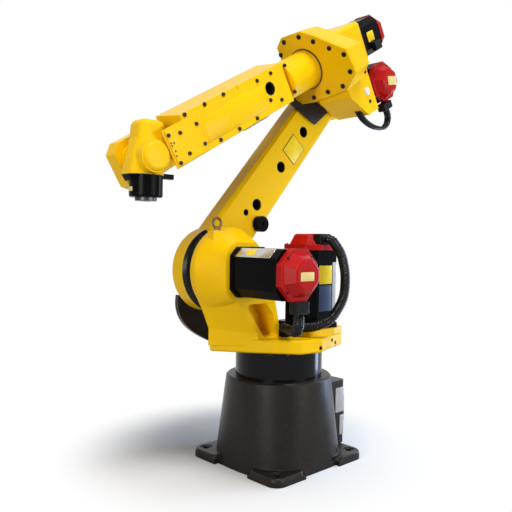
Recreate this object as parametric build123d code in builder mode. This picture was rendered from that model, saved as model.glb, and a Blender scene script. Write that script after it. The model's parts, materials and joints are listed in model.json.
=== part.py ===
"""Six-axis industrial robot arm on its column base, in the pose of a folded arm with the tool flange down.

Millimetres. The origin is on the floor under the first axis. +X is the front of the robot,
+Y is its left side, where the second motor sticks out, and +Z is up.
"""

from build123d import *
from math import cos, pi, radians, sin, tan
import os

os.makedirs("parts", exist_ok=True)

# Distances between the axes, and the rest pose
shoulder_height = 525.0
shoulder_offset = 150.0
arm_length = 740.0
arm_lean = 39.5
elbow_offset = 125.0
forearm_length = 810.0
forearm_pitch = 30.4
flange_distance = 100.0

# Clearances
running_gap = 0.3
swing_gap = 6.0
cheek_gap = 5.2
hub_gap = 2.0

# Base
foot_side = 346.0
foot_height = 12.0
foot_corner = 32.0
foot_recess = 13.0
pad_rise = 10.0
pad_side = 107.0
pad_corner = 20.0
pad_edge = 2.5
pad_draft = 14.0
bolt_spacing = 283.0
bolt_hole = 18.0
bolt_seat = 34.0
bolt_seat_depth = 2.0
column_foot_side = 322.0
column_foot_corner = 128.0
column_top_radius = 146.5
column_height = 236.0
rim_chamfer = 4.5
ring_radius = 121.4
ring_height = 71.4
ring_edge = 2.0
box_half_width = 70.0
box_projection = 50.0
box_height = 198.0
box_corner = 14.0
panel_width = 108.0
panel_height = 148.0
panel_thickness = 4.0
inlet_width = 42.0
inlet_height = 78.0
inlet_depth = 22.0
inlet_edge = 4.0
inlet_pitch = 52.0

# Turret
plate_thickness = 37.0
plate_front = 190.0
plate_rear = 168.0
plate_left = 140.0
plate_right = 138.0
plate_edge = 4.0
boss_height = 18.0
boss_margin = 10.0
side_hole = 11.0
side_hole_depth = 16.0
barrel_far = -60.0
barrel_near = 35.0
barrel_rim = 18.0
barrel_far_radius = 118.0
barrel_near_side = 154.0
barrel_near_corner = 38.0
barrel_near_cut = 52.0
wall_toe = 55.0
wall_back = 60.0
front_wall = 24.0
pocket_floor = -24.0
lifting_pad_top = 106.0
lifting_pad_side = 42.0
lifting_pad_depth = 30.0
lifting_pad_x = 55.0
lifting_pad_y = -30.0
eye_collar = 9.0
eye_collar_height = 7.0
eye_ring = 13.0
eye_wire = 3.6
reducer_radius = 110.0

# Servo motors: one frame for the first two axes, a smaller one for the third and fourth
motor_side = 130.0
motor_chamfer = 22.0
motor_flange = 12.0
motor_step = 3.0
cap_side = 127.0
cap_corner = 38.0
cap_base = 16.0
cap_drum = 30.0
cap_drum_side = 76.0
cap_draft = 26.0
cap_edge = 4.0
base_cap_side = 140.0
base_cap_corner = 30.0
base_drum_side = 82.0
small_motor_side = 114.0
small_motor_chamfer = 19.0
small_cap_side = 112.0
small_cap_corner = 33.0
small_cap_drum = 26.0
small_cap_drum_side = 68.0
shoulder_motor_reach = 218.0
base_motor_x = -95.0
base_motor_y = 30.0
base_motor_top = 582.0
elbow_motor_reach = 112.0
drive_motor_length = 107.0
drive_motor_y = 3.0
drive_motor_up = 4.0
elbow_plug_shift = 31.0

# Connectors and the cables that the arm holds all the way
cable_width = 10.5
plug_width = 44.0
plug_depth = 28.0
plug_height = 30.0
small_plug_height = 22.0
plug_edge = 4.0
clamp_width = 40.0
clamp_height = 44.0
lead_rise = 22.0
clamp_x = 16.0
clamp_y = 38.0
hose_width = 18.0

# Upper arm
arm_near = -87.0
arm_thickness = 68.0
disc_radius = 116.0
arm_top_radius = 88.0
arm_front_low = 95.0
arm_front_high = 80.0
arm_rear_low = 45.0
arm_rear_high = 55.0
arm_near_edge = 9.0
arm_far_edge = 14.0
arm_hole = 34.0
arm_hole_depth = 42.0
arm_hole_stations = ((534.0, 14.0), (382.0, 13.0), (230.0, 12.0))
small_arm_hole = 19.0
small_arm_hole_station = (185.0, 28.6)
bumper_station = 192.0
bumper_radius = 23.0
bumper_length = barrel_far - swing_gap - arm_near
bumper_socket = 12.0

# Cable cover on the far side of the shoulder
cover_thickness = 14.0
cover_reach = 80.0
cover_drop = 209.0

# Elbow
elbow_far = arm_near + swing_gap
front_plate_station = 192.0
front_plate_thickness = 9.0
front_plate_edge = 1.5
casing_back = 111.0
casing_draft = 6.0
drive_back = -24.0
drive_half = 62.0
elbow_block_near = 118.0
elbow_block_back = 72.0
elbow_block_low = 184.0
elbow_hub_radius = 84.0
elbow_block_edge = 6.0
shield_thickness = 4.0
motor_pocket_gap = 2.0

# Forearm
tube_radius = 54.0
collar_radius = 56.5
collar_length = 6.0
box_start = 314.0
box_half = 47.0
box_top_near = 57.0
box_top_far = 67.0
box_under = 50.0
shoulder_chamfer = 17.0
box_edge = 5.0
fork_depth = 102.0
near_cheek = 3.3
near_cheek_end = 36.0
near_cheek_top = 45.0
cover_band = 1.5
belt_case_depth = 46.0
belt_case_back = 166.0
belt_case_nose = 46.0
belt_case_top = 53.0
belt_case_under = 66.0
belt_case_edge = 8.0
side_cover_thickness = 2.5
side_cover_length = 101.0
forearm_hole = 36.0
forearm_hole_station = 402.0
forearm_hole_up = 10.0
forearm_hole_depth = 60.0

# Wrist and tool flange
wrist_rear = 42.0
wrist_front_top = 26.0
wrist_front = 44.0
wrist_front_foot = 50.0
wrist_depth = 66.0
wrist_shift = 8.0
wrist_corner = 22.0
wrist_rise = 88.0
wrist_drop = 41.0
wrist_dome = 17.0
wrist_hub_radius = 38.0
gear_case_drop = 92.0
gear_case_edge = 3.0
gear_case_rim = 14.0
gear_case_draft = 30.0
clip_reach = 66.0
clip_width = 16.0
clip_height = 12.0
clip_rise = 6.0
flange_radius = 25.0
flange_pilot = 12.5
flange_pilot_depth = 6.0
flange_bolt_circle = 40.0
flange_bolt_hole = 5.0

arm_along = Vector(-sin(radians(arm_lean)), 0, cos(radians(arm_lean)))
fore_along = Vector(cos(radians(forearm_pitch)), 0, -sin(radians(forearm_pitch)))
fore_up = Vector(sin(radians(forearm_pitch)), 0, cos(radians(forearm_pitch)))
shoulder = Vector(shoulder_offset, 0, shoulder_height)
elbow = shoulder + arm_along * arm_length
fore_foot = elbow + fore_up * elbow_offset
wrist = fore_foot + fore_along * forearm_length
ring_top = column_height + ring_height
plate_bottom = ring_top + running_gap
plate_top = plate_bottom + plate_thickness
boss_top = plate_top + boss_height


def beside_shoulder(y):
    """The upright plane at this y with its origin on the second axis, with its normal towards -Y."""
    return Plane(origin=shoulder + Vector(0, y, 0), x_dir=(1, 0, 0), z_dir=(0, -1, 0))


def beside_arm(y):
    """The plane at this y with its origin on the second axis: along the arm, then across it to the front."""
    return Plane(origin=(shoulder.X, y, shoulder.Z), x_dir=arm_along, z_dir=(0, 1, 0))


def beside_forearm(y):
    """The plane at this y with its origin at the foot of the elbow: along the forearm, then up from it."""
    return Plane(origin=fore_foot + Vector(0, y, 0), x_dir=fore_along, z_dir=(0, -1, 0))


def across_forearm(station):
    """The cross-section of the forearm at this station, drawn in Y and up."""
    return Plane(origin=fore_foot + fore_along * station, x_dir=(0, 1, 0), z_dir=fore_along)


def beside_wrist(y):
    """The plane at this y with its origin on the fifth axis, drawn in X and Z."""
    return Plane(origin=wrist + Vector(0, y, 0), x_dir=(1, 0, 0), z_dir=(0, -1, 0))


def octagon(side, corner):
    """The outline of a square with its corners cut off, added to the open sketch."""
    half = side / 2
    inner = half - corner
    Polygon(
        (half, inner), (inner, half), (-inner, half), (-half, inner),
        (-half, -inner), (-inner, -half), (inner, -half), (half, -inner), align=None,
    )


def servo_motor(seat, side, corner, length):
    """A motor body standing on its seat plane, with its square mounting flange."""
    with BuildPart() as motor:
        with BuildSketch(seat):
            octagon(side, corner)
        extrude(amount=motor_flange)
        with BuildSketch(seat.offset(motor_flange)):
            octagon(side - 2 * motor_step, corner)
        extrude(amount=length - motor_flange)
    return motor


def motor_cap(seat, side, corner, drum, drum_side):
    """The encoder cap: an octagonal base with a drafted octagonal drum on it."""
    with BuildPart() as cap:
        with BuildSketch(seat):
            octagon(side, corner)
        extrude(amount=cap_base)
        drum_foot = drum_side + 2 * drum * tan(radians(cap_draft))
        with BuildSketch(seat.offset(cap_base)):
            octagon(drum_foot, corner * drum_foot / side)
        extrude(amount=drum, taper=cap_draft)
        chamfer(cap.faces().sort_by(Axis(seat.origin, seat.z_dir))[-1].edges(), cap_edge)
    return cap


def plug(seat, width, depth, height):
    """A cable plug standing on its seat plane, with its outer edges broken."""
    with BuildPart() as body:
        with BuildSketch(seat):
            RectangleRounded(width, depth, plug_edge)
        extrude(amount=height)
        chamfer(body.faces().sort_by(Axis(seat.origin, seat.z_dir))[-1].edges(), plug_edge / 2)
    return body


def held_leads(name, points, width, shifts, *carriers):
    """Cables beside each other along straight runs joined by arcs, ending on what carries them."""
    points = [Vector(*p) for p in points]
    radii = []
    for before, corner, after in zip(points, points[1:], points[2:]):
        arriving, leaving = corner - before, after - corner
        half_turn = radians(arriving.get_angle(leaving)) / 2
        radii.append(0.45 * min(arriving.length, leaving.length) / tan(half_turn))
    length = 0
    with BuildPart() as leads:
        for shift in shifts:
            beside = [p + Vector(*shift) for p in points]
            with BuildLine() as route:
                FilletPolyline(*beside, radius=radii)
            with BuildSketch(Plane(origin=beside[0], z_dir=beside[1] - beside[0])):
                Circle(width / 2)
            sweep(path=route.wires()[0])
            length += route.wires()[0].length
        share = leads.part.volume / (pi * width ** 2 / 4 * length)
        for carrier in carriers:
            add(carrier.part, mode=Mode.SUBTRACT)
    print(name, len(shifts), "leads of", round(length / len(shifts)), "radii", [round(r) for r in radii],
          "volume share", round(share, 3))
    write(leads, name)


def write(piece, name):
    """Labels the piece and writes its file."""
    piece.part.label = name
    export_step(piece.part, f"parts/{name}.step")


# Base: square foot with four raised pads, and the column from a rounded square to a circle
with BuildPart() as base_casting:
    with BuildSketch():
        RectangleRounded(foot_side, foot_side, foot_corner)
        with PolarLocations(foot_side / 2, 4):
            Rectangle(2 * foot_recess, foot_side - 2 * pad_side, mode=Mode.SUBTRACT)
    extrude(amount=foot_height)
    with BuildSketch(Plane.XY.offset(foot_height)):
        with GridLocations(foot_side - pad_side, foot_side - pad_side, 2, 2):
            RectangleRounded(pad_side, pad_side, pad_corner)
        RectangleRounded(foot_side, foot_side, foot_corner, mode=Mode.INTERSECT)
    extrude(amount=pad_rise, taper=pad_draft)
    pad_tops = base_casting.faces().filter_by(Axis.Z).group_by(Axis.Z)[-1]
    chamfer(pad_tops.edges(), pad_edge)
    with BuildSketch():
        RectangleRounded(column_foot_side, column_foot_side, column_foot_corner)
    with BuildSketch(Plane.XY.offset(column_height)):
        Circle(column_top_radius)
    loft()
    chamfer(base_casting.faces().sort_by(Axis.Z)[-1].edges(), rim_chamfer)
    with Locations((0, 0, foot_height + pad_rise)):
        with GridLocations(bolt_spacing, bolt_spacing, 2, 2):
            CounterBoreHole(bolt_hole / 2, bolt_seat / 2, bolt_seat_depth)
write(base_casting, "base_casting")

with BuildPart() as axis1_ring:
    with BuildSketch(Plane.XY.offset(column_height)):
        Circle(ring_radius)
    extrude(amount=ring_height)
    chamfer(axis1_ring.faces().sort_by(Axis.Z)[-1].edges(), ring_edge)
write(axis1_ring, "axis1_ring")

box_reach = column_foot_side / 2 + box_projection
with BuildPart() as connector_box:
    with BuildSketch(Plane.XY.offset(foot_height)):
        with Locations((-box_reach / 2, 0)):
            Rectangle(box_reach, 2 * box_half_width)
    extrude(amount=box_height - foot_height)
    rear_corners = connector_box.edges().filter_by(Axis.Z).group_by(Axis.X)[0]
    fillet(rear_corners, box_corner)
    add(base_casting.part, mode=Mode.SUBTRACT)
write(connector_box, "connector_box")

panel_middle = foot_height + (box_height - foot_height) / 2
rear_face = Plane(origin=(-box_reach, 0, panel_middle), x_dir=(0, 1, 0), z_dir=(-1, 0, 0))
with BuildPart() as rear_panel:
    with BuildSketch(rear_face):
        RectangleRounded(panel_width, panel_height, panel_thickness)
    extrude(amount=panel_thickness)
write(rear_panel, "rear_panel")

for name, side in (("power_inlet", 1), ("signal_inlet", -1)):
    with BuildPart() as inlet:
        with BuildSketch(rear_face.offset(panel_thickness)):
            with Locations((side * inlet_pitch / 2, 0)):
                RectangleRounded(inlet_width, inlet_height, inlet_edge)
        extrude(amount=inlet_depth)
        chamfer(inlet.faces().sort_by(Axis.X)[0].edges(), inlet_edge / 2)
    write(inlet, name)

# Turret: many-sided plate over the first axis, the shoulder housing and its hollow front wall
barrel_half = barrel_near_side / 2
plate_outline = [
    (plate_front, -0.52 * plate_right), (0.59 * plate_front, 0.31 * plate_left),
    (0.49 * plate_front, 0.5 * plate_left), (0.22 * plate_front, 0.9 * plate_left),
    (-0.15 * plate_rear, plate_left), (-0.55 * plate_rear, 0.8 * plate_left),
    (-plate_rear, 0.63 * plate_left), (-plate_rear, -0.38 * plate_right),
    (-0.7 * plate_rear, -0.76 * plate_right), (-0.24 * plate_rear, -plate_right),
    (0.37 * plate_front, -0.97 * plate_right), (0.74 * plate_front, -0.72 * plate_right),
]
drop = shoulder_height - plate_top
wall_far = [
    (barrel_far_radius, -0.1 * barrel_far_radius), (0.88 * barrel_far_radius, -0.46 * barrel_far_radius),
    (0.66 * barrel_far_radius, -0.86 * barrel_far_radius), (wall_toe, -0.85 * drop),
    (wall_toe, -drop - plate_thickness / 2), (-shoulder_offset - wall_back, -drop - plate_thickness / 2),
    (-shoulder_offset - wall_back, -drop), (-barrel_far_radius, 0),
]
wall_near = [
    (barrel_half, 0), (0.92 * barrel_half, -0.4 * barrel_half), (0.55 * barrel_half, -0.88 * barrel_half),
    (-0.45 * barrel_half, -0.92 * drop), (-0.5 * barrel_half, -drop - plate_thickness / 2),
    (-1.6 * barrel_half, -drop - plate_thickness / 2), (-1.6 * barrel_half, -drop),
    (-barrel_half, 0),
]
with BuildPart() as turret_casting:
    with BuildSketch(Plane.XY.offset(plate_bottom)):
        Polygon(*plate_outline, align=None)
    extrude(amount=plate_thickness)
    plate_faces = turret_casting.faces().filter_by(Axis.Z)
    chamfer(plate_faces.edges(), plate_edge)
    with BuildSketch(Plane.XY.offset(plate_top)):
        with Locations((base_motor_x, base_motor_y)):
            RectangleRounded(motor_side + 2 * boss_margin, motor_side + 2 * boss_margin, boss_margin)
        Polygon(*plate_outline, align=None, mode=Mode.INTERSECT)
    extrude(amount=boss_height)
    with BuildSketch(beside_shoulder(barrel_far)):
        Polygon(*wall_far, align=None)
    with BuildSketch(beside_shoulder(barrel_near)):
        Polygon(*wall_near, align=None)
    loft(ruled=True)
    with BuildSketch(beside_shoulder(barrel_far)):
        Circle(barrel_far_radius)
    extrude(amount=-barrel_rim)
    with BuildSketch(beside_shoulder(barrel_far + barrel_rim)):
        Circle(barrel_far_radius)
    with BuildSketch(beside_shoulder(barrel_near)):
        RectangleRounded(barrel_near_side, barrel_near_side, barrel_near_corner)
        Polygon(
            (-barrel_half, barrel_half), (-barrel_half, barrel_half - barrel_near_cut),
            (barrel_near_cut - barrel_half, barrel_half), align=None, mode=Mode.SUBTRACT)
    loft()
    with BuildSketch(beside_shoulder(barrel_near)):
        Polygon(
            (-0.85 * barrel_half, -1.12 * barrel_half), (0.12 * barrel_half, -1.12 * barrel_half),
            (-0.45 * barrel_half - front_wall, -drop + plate_edge),
            (-1.3 * barrel_half, -drop + plate_edge), (-1.2 * barrel_half, -0.66 * drop), align=None,
        )
        fillet(vertices(), boss_margin)
    extrude(amount=barrel_near - pocket_floor, mode=Mode.SUBTRACT)
    with BuildSketch(Plane.XY.offset(shoulder_height + 0.6 * barrel_far_radius)):
        with Locations((shoulder_offset + lifting_pad_x, lifting_pad_y)):
            RectangleRounded(lifting_pad_side, lifting_pad_depth, plate_edge)
    extrude(amount=lifting_pad_top - 0.6 * barrel_far_radius)
    for corner, share, rise in ((3, 0.93, 0.35), (5, 0.12, 0.62), (5, 0.42, 0.35)):
        start = Vector(*plate_outline[corner])
        side = Vector(*plate_outline[corner + 1]) - start
        spot = start + side * share + Vector(0, 0, plate_bottom + rise * plate_thickness)
        with Locations(Plane(origin=spot, z_dir=(side.Y, -side.X, 0))):
            Hole(side_hole / 2, depth=side_hole_depth)
write(turret_casting, "turret_casting")

lifting_seat = Plane(origin=(
    shoulder_offset + lifting_pad_x, lifting_pad_y, shoulder_height + lifting_pad_top))
eye_middle = lifting_seat.origin + Vector(0, 0, eye_collar_height + eye_ring)
with BuildPart() as lifting_eye:
    with BuildSketch(lifting_seat):
        Circle(eye_collar)
    extrude(amount=eye_collar_height)
    with Locations(Plane(origin=eye_middle, z_dir=(0, 1, 0))):
        Torus(eye_ring, eye_wire)
write(lifting_eye, "lifting_eye")

with BuildPart() as axis2_reducer:
    with BuildSketch(beside_shoulder(barrel_far)):
        Circle(reducer_radius)
    extrude(amount=barrel_far - arm_near - running_gap)
write(axis2_reducer, "axis2_reducer")

shoulder_motor_seat = Plane(
    origin=(shoulder.X, barrel_near, shoulder.Z), x_dir=(1, 0, 0), z_dir=(0, 1, 0))
shoulder_motor_length = shoulder_motor_reach - barrel_near - cap_base
axis2_motor = servo_motor(shoulder_motor_seat, motor_side, motor_chamfer, shoulder_motor_length)
write(axis2_motor, "axis2_motor")
axis2_motor_cap = motor_cap(
    shoulder_motor_seat.offset(shoulder_motor_length), cap_side, cap_corner, cap_drum, cap_drum_side)
write(axis2_motor_cap, "axis2_motor_cap")

base_motor_seat = Plane(origin=(base_motor_x, base_motor_y, boss_top))
base_motor_length = base_motor_top - boss_top
axis1_motor = servo_motor(base_motor_seat, motor_side, motor_chamfer, base_motor_length)
write(axis1_motor, "axis1_motor")
axis1_motor_cap = motor_cap(
    base_motor_seat.offset(base_motor_length), base_cap_side, base_cap_corner, cap_drum, base_drum_side)
write(axis1_motor_cap, "axis1_motor_cap")

# Plugs and motor cables of the turret, with the clamp block that the cables run to
base_plug_x = base_motor_x + plug_width / 3
base_plug_near = base_motor_y + base_drum_side / 2
axis1_connector = plug(
    Plane(origin=(base_plug_x, base_plug_near, base_motor_top + cap_base + plug_height / 2),
          x_dir=(1, 0, 0), z_dir=(0, 1, 0)),
    plug_width, plug_height, plug_depth)
with axis1_connector:
    add(axis1_motor_cap.part, mode=Mode.SUBTRACT)
write(axis1_connector, "axis1_connector")

shoulder_plug_y = shoulder_motor_reach + running_gap
shoulder_plug_top = shoulder_height - cap_side / 2
axis2_connector = plug(
    Plane(origin=(shoulder.X, shoulder_plug_y, shoulder_plug_top), x_dir=(1, 0, 0), z_dir=(0, 0, -1)),
    plug_width, plug_depth, plug_height)
write(axis2_connector, "axis2_connector")

cable_clamp = plug(Plane(origin=(clamp_x, clamp_y, plate_top)), clamp_width, clamp_width, clamp_height)
with cable_clamp:
    add(turret_casting.part, mode=Mode.SUBTRACT)
write(cable_clamp, "cable_clamp")

base_plug_face = base_plug_near + plug_depth
base_plug_z = base_motor_top + cap_base + plug_height / 2
lead_low = plate_top + lead_rise
held_leads(
    "axis1_leads",
    [(base_plug_x, base_plug_face, base_plug_z),
     (base_plug_x, base_plug_face + 24, base_plug_z - 4),
     (base_plug_x, base_plug_face + 56, base_plug_z - 38),
     (base_plug_x, base_plug_face + 72, base_plug_z - 92),
     (base_plug_x, base_plug_face + 69, base_plug_z - 160),
     (base_plug_x + 30, base_plug_face + 50, lead_low + 29),
     (base_plug_x + 56, base_plug_face + 18, lead_low + 8), (clamp_x - 4, clamp_y, lead_low)],
    cable_width, ((-5, -5, -4), (5, 5, 4)), cable_clamp, axis1_connector)

held_leads(
    "axis2_leads",
    [(shoulder.X, shoulder_plug_y, shoulder_plug_top - plug_height),
     (shoulder.X - 2, shoulder_plug_y - 2, shoulder_plug_top - plug_height - 26),
     (shoulder.X - 14, shoulder_plug_y - 20, lead_low + 19),
     (shoulder.X - 42, shoulder_plug_y - 60, lead_low + 12),
     (shoulder.X - 84, shoulder_plug_y - 120, lead_low + 8), (clamp_x + 8, clamp_y, lead_low + 4)],
    cable_width, ((-6, 2, -4), (6, -2, 4)), cable_clamp, axis2_connector, turret_casting)

# Curved cable cover on the far side of the shoulder, with its foot on the plate
cover_near = arm_near - arm_thickness - swing_gap
with BuildPart() as cable_cover:
    with BuildSketch(beside_shoulder(cover_near)):
        with BuildLine():
            Spline(
                (cover_reach, -0.34 * cover_drop), (0.78 * cover_reach, -0.7 * cover_drop),
                (0.3 * cover_reach, -0.86 * cover_drop), (-0.4 * cover_reach, -cover_drop))
            Polyline(
                (-0.4 * cover_reach, -cover_drop), (-1.5 * cover_reach, -cover_drop),
                (-1.5 * cover_reach, -0.8 * cover_drop), (-0.6 * cover_reach, -0.45 * cover_drop),
                (cover_reach, -0.34 * cover_drop))
        make_face()
    extrude(amount=cover_thickness)
    with BuildSketch(beside_shoulder(-0.9 * plate_right)):
        with Locations((-0.9 * cover_reach, -drop - plate_thickness / 2)):
            Rectangle(0.8 * cover_reach, plate_thickness / 2)
    extrude(amount=-0.9 * plate_right - cover_near)
    add(turret_casting.part, mode=Mode.SUBTRACT)
write(cable_cover, "cable_cover")

# Upper arm: a round disc on the second axis, a narrower limb out of it, and a round top end
limb_low = 0.9 * disc_radius
limb_high = arm_length - 0.5 * arm_top_radius
with BuildPart() as upper_arm_casting:
    with BuildSketch(beside_arm(arm_near - arm_thickness)) as arm_outline:
        Circle(disc_radius)
        Polygon(
            (0.3 * disc_radius, arm_front_low), (limb_low, arm_front_low), (limb_high, arm_front_high),
            (limb_high, -arm_rear_high), (limb_low, -arm_rear_low), (0, -arm_rear_low), align=None,
        )
        with Locations((arm_length, 0)):
            Circle(arm_top_radius)
    extrude(amount=arm_thickness)
    arm_faces = upper_arm_casting.faces().filter_by(Axis.Y).sort_by(Axis.Y)
    chamfer(arm_faces[-1].edges(), arm_near_edge)
    chamfer(arm_faces[0].edges(), arm_far_edge)
    with Locations(beside_arm(arm_near)):
        with Locations(*arm_hole_stations):
            Hole(arm_hole / 2, depth=arm_hole_depth)
        with Locations(small_arm_hole_station):
            Hole(small_arm_hole / 2, depth=arm_hole_depth / 2)
write(upper_arm_casting, "upper_arm_casting")

with BuildPart() as stop_bumper:
    with BuildSketch(beside_arm(arm_near)):
        with Locations((bumper_station, -0.65 * arm_rear_low)):
            Circle(bumper_radius)
    extrude(amount=bumper_length)
    with BuildSketch(beside_arm(arm_near + bumper_length)):
        with Locations((bumper_station, -0.65 * arm_rear_low)):
            RegularPolygon(bumper_socket / 2, 6)
    extrude(amount=-bumper_length / 2, mode=Mode.SUBTRACT)
    chamfer(stop_bumper.edges().filter_by(GeomType.CIRCLE).sort_by(Axis.Y)[-1], 2)
write(stop_bumper, "stop_bumper")

# Elbow: drafted gear casing round the fourth axis, hub of the third axis, and the block beside it
casing_outline = [
    (elbow_far, 80), (-52, 104), (22, 106), (66, 84), (112, 55), (160, 26), (170, -42),
    (122, -84), (58, -92), (-10, -100), (-60, -98), (elbow_far, -78)]
seal_station = front_plate_station - front_plate_thickness
with BuildPart() as elbow_casting:
    with BuildSketch(across_forearm(seal_station)):
        Polygon(*casing_outline, align=None)
    extrude(amount=-(seal_station - casing_back), taper=casing_draft)
    with BuildSketch(beside_forearm(elbow_far)):
        with Locations((0, -elbow_offset)):
            Circle(elbow_hub_radius)
        Polygon(
            (0, -0.2 * elbow_offset), (casing_back, -0.2 * elbow_offset), (casing_back, -0.7 * elbow_offset),
            (elbow_hub_radius, -elbow_offset), (0, -elbow_offset), align=None)
    extrude(amount=elbow_far)
    with BuildSketch(beside_forearm(0)):
        Polygon(
            (elbow_block_back, -0.3 * elbow_offset), (seal_station, -0.3 * elbow_offset),
            (seal_station, -0.6 * elbow_block_low), (0.68 * seal_station, -elbow_block_low),
            (elbow_block_back, -elbow_block_low), align=None)
    extrude(amount=-elbow_block_near)
    with BuildSketch(across_forearm(drive_back)):
        with Locations((drive_motor_y, drive_motor_up)):
            octagon(2 * drive_half, small_motor_chamfer / 2)
    extrude(amount=casing_back + elbow_block_edge - drive_back)
    with BuildSketch(across_forearm(drive_back)):
        with Locations((drive_motor_y, drive_motor_up)):
            octagon(small_motor_side + 2 * motor_pocket_gap, small_motor_chamfer / 3)
    extrude(amount=-drive_motor_length, mode=Mode.SUBTRACT)
write(elbow_casting, "elbow_casting")

with BuildPart() as elbow_front_plate:
    with BuildSketch(across_forearm(seal_station)):
        Polygon(*casing_outline, align=None)
    extrude(amount=front_plate_thickness)
    chamfer(elbow_front_plate.faces().sort_by(Axis(fore_foot, fore_along))[-1].edges(), front_plate_edge)
write(elbow_front_plate, "elbow_front_plate")

with BuildPart() as elbow_shield:
    with BuildSketch(beside_forearm(elbow_far + shield_thickness)):
        Polygon((226, -74), (150, -70), (66, -168), (148, -180), align=None)
    extrude(amount=shield_thickness)
    add(elbow_casting.part, mode=Mode.SUBTRACT)
    add(elbow_front_plate.part, mode=Mode.SUBTRACT)
write(elbow_shield, "elbow_shield")

with BuildPart() as axis3_reducer:
    with BuildSketch(beside_forearm(elbow_far)):
        with Locations((0, -elbow_offset)):
            Circle(0.85 * elbow_hub_radius)
    extrude(amount=elbow_far - arm_near - running_gap)
write(axis3_reducer, "axis3_reducer")

elbow_motor_plane = Plane(origin=elbow, x_dir=fore_along, z_dir=(0, 1, 0))
elbow_motor_length = elbow_motor_reach - cap_base
axis3_motor = servo_motor(elbow_motor_plane, small_motor_side, small_motor_chamfer, elbow_motor_length)
write(axis3_motor, "axis3_motor")
axis3_motor_cap = motor_cap(
    elbow_motor_plane.offset(elbow_motor_length), small_cap_side, small_cap_corner, small_cap_drum,
    small_cap_drum_side)
write(axis3_motor_cap, "axis3_motor_cap")

drive_motor_plane = Plane(
    origin=fore_foot + fore_along * drive_back + fore_up * drive_motor_up + Vector(0, drive_motor_y, 0),
    x_dir=(0, 1, 0), z_dir=-fore_along)
axis4_motor = servo_motor(drive_motor_plane, small_motor_side, small_motor_chamfer, drive_motor_length)
write(axis4_motor, "axis4_motor")
axis4_motor_cap = motor_cap(
    drive_motor_plane.offset(drive_motor_length), small_cap_side, small_cap_corner, small_cap_drum / 2,
    small_cap_drum_side)
write(axis4_motor_cap, "axis4_motor_cap")

elbow_plug_seat = Plane(
    origin=elbow + fore_along * elbow_plug_shift - fore_up * (small_cap_side / 2)
    + Vector(0, elbow_motor_reach, 0),
    x_dir=fore_along, z_dir=-fore_up)
axis3_connector = plug(elbow_plug_seat, plug_width, plug_depth, small_plug_height)
write(axis3_connector, "axis3_connector")

drive_plug_seat = Plane(
    origin=fore_foot + fore_along * (drive_back - 0.58 * drive_motor_length)
    + fore_up * (drive_motor_up - 0.28 * small_motor_side)
    + Vector(0, drive_motor_y + small_motor_side / 2 - motor_step, 0),
    x_dir=fore_along, z_dir=(0, 1, 0))
axis4_connector = plug(drive_plug_seat, 0.8 * plug_width, plug_depth, 0.7 * small_plug_height)
write(axis4_connector, "axis4_connector")

elbow_lead = elbow_plug_seat.origin - fore_up * small_plug_height
held_leads(
    "axis3_leads",
    [tuple(elbow_lead), tuple(elbow_lead - fore_up * 22), tuple(elbow_lead + Vector(-7, 0, -43)),
     tuple(elbow_lead + Vector(14, 0, -61)), tuple(elbow_lead + Vector(62, -4, -62)),
     tuple(elbow_lead + Vector(104, -14, -40)), tuple(elbow_lead + Vector(125, -27, 12))],
    cable_width, ((0, -6, 0), (0, 6, 0)), elbow_casting, axis3_connector)

# Forearm: round tube, square casting with an open fork, and the belt case on the far side
fork_start = forearm_length - fork_depth
with BuildPart() as forearm_tube:
    with BuildSketch(across_forearm(front_plate_station + running_gap)):
        Circle(collar_radius)
    extrude(amount=collar_length)
    with BuildSketch(across_forearm(front_plate_station + running_gap)):
        Circle(tube_radius)
    extrude(amount=box_start - front_plate_station - running_gap)
write(forearm_tube, "forearm_tube")

with BuildPart() as forearm_casting:
    with BuildSketch(across_forearm(box_start)):
        Polygon(
            (box_half, box_top_near), (-box_half, box_top_far), (-box_half, -box_under),
            (box_half, -box_under), align=None)
    extrude(amount=fork_start - box_start)
    along = Axis(fore_foot, fore_along)
    chamfer(forearm_casting.faces().sort_by(along)[0].edges(), shoulder_chamfer)
    with BuildSketch(beside_forearm(box_half)):
        Polygon(
            (fork_start - box_edge, near_cheek_top), (forearm_length - near_cheek_end, near_cheek_top),
            (forearm_length - near_cheek_end, -box_under), (fork_start - box_edge, -box_under), align=None)
    extrude(amount=near_cheek)
    with BuildSketch(beside_forearm(box_half)):
        Polygon(
            (box_start + 0.3 * fork_start - shoulder_chamfer, near_cheek_top + cover_band),
            (fork_start, near_cheek_top + cover_band), (fork_start, box_top_far),
            (box_start + 0.3 * fork_start - shoulder_chamfer, box_top_far), align=None)
    extrude(amount=cover_band, mode=Mode.SUBTRACT)
    hole_spot = fore_foot + fore_along * forearm_hole_station + fore_up * forearm_hole_up
    with Locations(Plane(origin=hole_spot + Vector(0, box_half, 0), z_dir=(0, 1, 0))):
        Hole(forearm_hole / 2, depth=forearm_hole_depth)
write(forearm_casting, "forearm_casting")

nose = forearm_length + belt_case_nose
case_start = forearm_length - belt_case_back
with BuildPart() as belt_case:
    with BuildSketch(beside_forearm(-box_half)):
        Polygon(
            (case_start, 0.6 * belt_case_top), (case_start + belt_case_depth, belt_case_top),
            (nose - 0.5 * belt_case_nose, belt_case_top), (nose, 0.62 * belt_case_top),
            (nose, -0.72 * belt_case_under), (nose - 0.4 * belt_case_nose, -belt_case_under),
            (case_start + belt_case_depth, -0.9 * belt_case_under), (case_start, -0.5 * belt_case_under),
            align=None)
    extrude(amount=belt_case_depth)
    chamfer(belt_case.faces().sort_by(Axis.Y)[0].edges(), belt_case_edge)
write(belt_case, "belt_case")

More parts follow.
